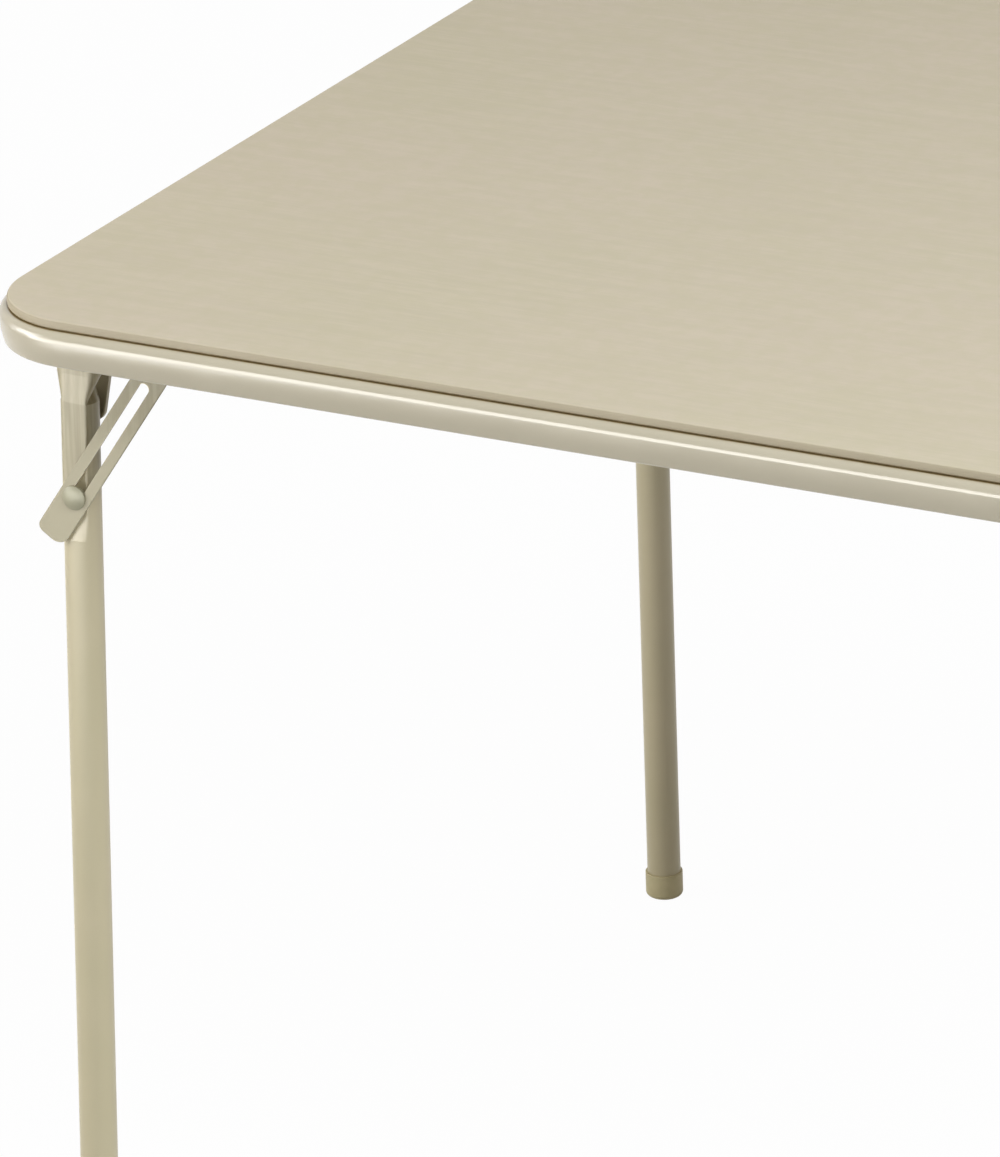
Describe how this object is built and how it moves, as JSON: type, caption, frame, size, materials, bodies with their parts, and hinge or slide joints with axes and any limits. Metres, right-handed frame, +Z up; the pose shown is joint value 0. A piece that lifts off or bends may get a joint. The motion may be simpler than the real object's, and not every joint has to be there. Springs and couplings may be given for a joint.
{
  "type": "folding card table",
  "caption": "Square folding card table: padded vinyl top in a rounded steel rail, tubular legs that fold flat along the rail on slotted lock braces.",
  "frame": {"origin": "on the floor under the centre of the square top, legs unfolded", "axes": "+X right along the front rail, +Y to the back, +Z up"},
  "size_m": [0.8636, 0.8636, 0.7145],
  "materials": {
    "vinyl": "beige upholstery vinyl, embossed with a fine straight grain, low sheen",
    "foam": "thin upholstery foam",
    "hardboard": "pressed hardboard, smooth face up",
    "zinc_screw": "bright zinc",
    "zinc_steel": "bright zinc",
    "rail_enamel": "beige baked enamel, semi-gloss",
    "leg_enamel": "beige baked enamel, semi-gloss",
    "brace_enamel": "beige baked enamel, satin",
    "bracket_enamel": "beige baked enamel, satin",
    "rivet_enamel": "beige baked enamel over steel rivets",
    "stud_enamel": "cream enamel, glossy dome",
    "tip_plastic": "olive-beige moulded vinyl, matte"
  },
  "bodies": {
    "root": {"vinyl_cover": "vinyl", "foam_pad": "foam", "tabletop_board": "hardboard", "panel_screws": "zinc_screw", "frame_rail": "rail_enamel", "hinge_bracket_front_left": "bracket_enamel", "bracket_rivets_front_left": "rivet_enamel", "leg_pivot_rivet_front_left": "rivet_enamel", "leg_pivot_bush_front_left": "zinc_steel", "leg_pivot_spacers_front_left": "zinc_steel", "brace_rivet_head_front_left": "rivet_enamel", "hinge_bracket_front_right": "bracket_enamel", "bracket_rivets_front_right": "rivet_enamel", "leg_pivot_rivet_front_right": "rivet_enamel", "leg_pivot_bush_front_right": "zinc_steel", "leg_pivot_spacers_front_right": "zinc_steel", "brace_rivet_head_front_right": "rivet_enamel", "hinge_bracket_back_right": "bracket_enamel", "bracket_rivets_back_right": "rivet_enamel", "leg_pivot_rivet_back_right": "rivet_enamel", "leg_pivot_bush_back_right": "zinc_steel", "leg_pivot_spacers_back_right": "zinc_steel", "brace_rivet_head_back_right": "rivet_enamel", "hinge_bracket_back_left": "bracket_enamel", "bracket_rivets_back_left": "rivet_enamel", "leg_pivot_rivet_back_left": "rivet_enamel", "leg_pivot_bush_back_left": "zinc_steel", "leg_pivot_spacers_back_left": "zinc_steel", "brace_rivet_head_back_left": "rivet_enamel"},
    "leg_front_left": {"leg_tube_front_left": "leg_enamel", "foot_tip_front_left": "tip_plastic"},
    "stud_front_left": {"lock_stud_front_left": "stud_enamel"},
    "brace_front_left": {"lock_brace_front_left": "brace_enamel", "brace_rivet_tail_front_left": "rivet_enamel"},
    "leg_front_right": {"leg_tube_front_right": "leg_enamel", "foot_tip_front_right": "tip_plastic"},
    "stud_front_right": {"lock_stud_front_right": "stud_enamel"},
    "brace_front_right": {"lock_brace_front_right": "brace_enamel", "brace_rivet_tail_front_right": "rivet_enamel"},
    "leg_back_right": {"leg_tube_back_right": "leg_enamel", "foot_tip_back_right": "tip_plastic"},
    "stud_back_right": {"lock_stud_back_right": "stud_enamel"},
    "brace_back_right": {"lock_brace_back_right": "brace_enamel", "brace_rivet_tail_back_right": "rivet_enamel"},
    "leg_back_left": {"leg_tube_back_left": "leg_enamel", "foot_tip_back_left": "tip_plastic"},
    "stud_back_left": {"lock_stud_back_left": "stud_enamel"},
    "brace_back_left": {"lock_brace_back_left": "brace_enamel", "brace_rivet_tail_back_left": "rivet_enamel"}
  },
  "joints": [
    {"name": "leg_fold_front_left", "type": "hinge", "parent": "root", "child": "leg_front_left", "pos_m": [-0.3793, -0.3775, 0.6877], "axis": [0, -1, 0], "range_deg": [0, 91.25]},
    {"name": "stud_turn_front_left", "type": "hinge", "parent": "leg_front_left", "child": "stud_front_left", "pos_m": [-0.37871, -0.3775, 0.5865], "axis": [0, -1, 0], "range_deg": [0, 32.35]},
    {"name": "brace_slide_front_left", "type": "slide", "parent": "stud_front_left", "child": "brace_front_left", "axis": [-0.5527, 0, -0.8334], "range_m": [0, 0.0933]},
    {"name": "leg_fold_front_right", "type": "hinge", "parent": "root", "child": "leg_front_right", "pos_m": [0.3775, -0.3793, 0.6877], "axis": [1, 0, 0], "range_deg": [0, 91.25]},
    {"name": "stud_turn_front_right", "type": "hinge", "parent": "leg_front_right", "child": "stud_front_right", "pos_m": [0.3775, -0.37871, 0.5865], "axis": [1, 0, 0], "range_deg": [0, 32.35]},
    {"name": "brace_slide_front_right", "type": "slide", "parent": "stud_front_right", "child": "brace_front_right", "axis": [0, -0.5527, -0.8334], "range_m": [0, 0.0933]},
    {"name": "leg_fold_back_right", "type": "hinge", "parent": "root", "child": "leg_back_right", "pos_m": [0.3793, 0.3775, 0.6877], "axis": [0, 1, 0], "range_deg": [0, 91.25]},
    {"name": "stud_turn_back_right", "type": "hinge", "parent": "leg_back_right", "child": "stud_back_right", "pos_m": [0.37871, 0.3775, 0.5865], "axis": [0, 1, 0], "range_deg": [0, 32.35]},
    {"name": "brace_slide_back_right", "type": "slide", "parent": "stud_back_right", "child": "brace_back_right", "axis": [0.5527, 0, -0.8334], "range_m": [0, 0.0933]},
    {"name": "leg_fold_back_left", "type": "hinge", "parent": "root", "child": "leg_back_left", "pos_m": [-0.3775, 0.3793, 0.6877], "axis": [-1, 0, 0], "range_deg": [0, 91.25]},
    {"name": "stud_turn_back_left", "type": "hinge", "parent": "leg_back_left", "child": "stud_back_left", "pos_m": [-0.3775, 0.37871, 0.5865], "axis": [-1, 0, 0], "range_deg": [0, 32.35]},
    {"name": "brace_slide_back_left", "type": "slide", "parent": "stud_back_left", "child": "brace_back_left", "axis": [0, 0.5527, -0.8334], "range_m": [0, 0.0933]}
  ],
  "couplings": [
    {"joint": "stud_turn_front_left", "follows": "leg_fold_front_left", "ratio": 0.35397},
    {"joint": "brace_slide_front_left", "follows": "leg_fold_front_left", "m_per_rad": 0.058511},
    {"joint": "stud_turn_front_right", "follows": "leg_fold_front_right", "ratio": 0.35397},
    {"joint": "brace_slide_front_right", "follows": "leg_fold_front_right", "m_per_rad": 0.058511},
    {"joint": "stud_turn_back_right", "follows": "leg_fold_back_right", "ratio": 0.35397},
    {"joint": "brace_slide_back_right", "follows": "leg_fold_back_right", "m_per_rad": 0.058511},
    {"joint": "stud_turn_back_left", "follows": "leg_fold_back_left", "ratio": 0.35397},
    {"joint": "brace_slide_back_left", "follows": "leg_fold_back_left", "m_per_rad": 0.058511}
  ]
}
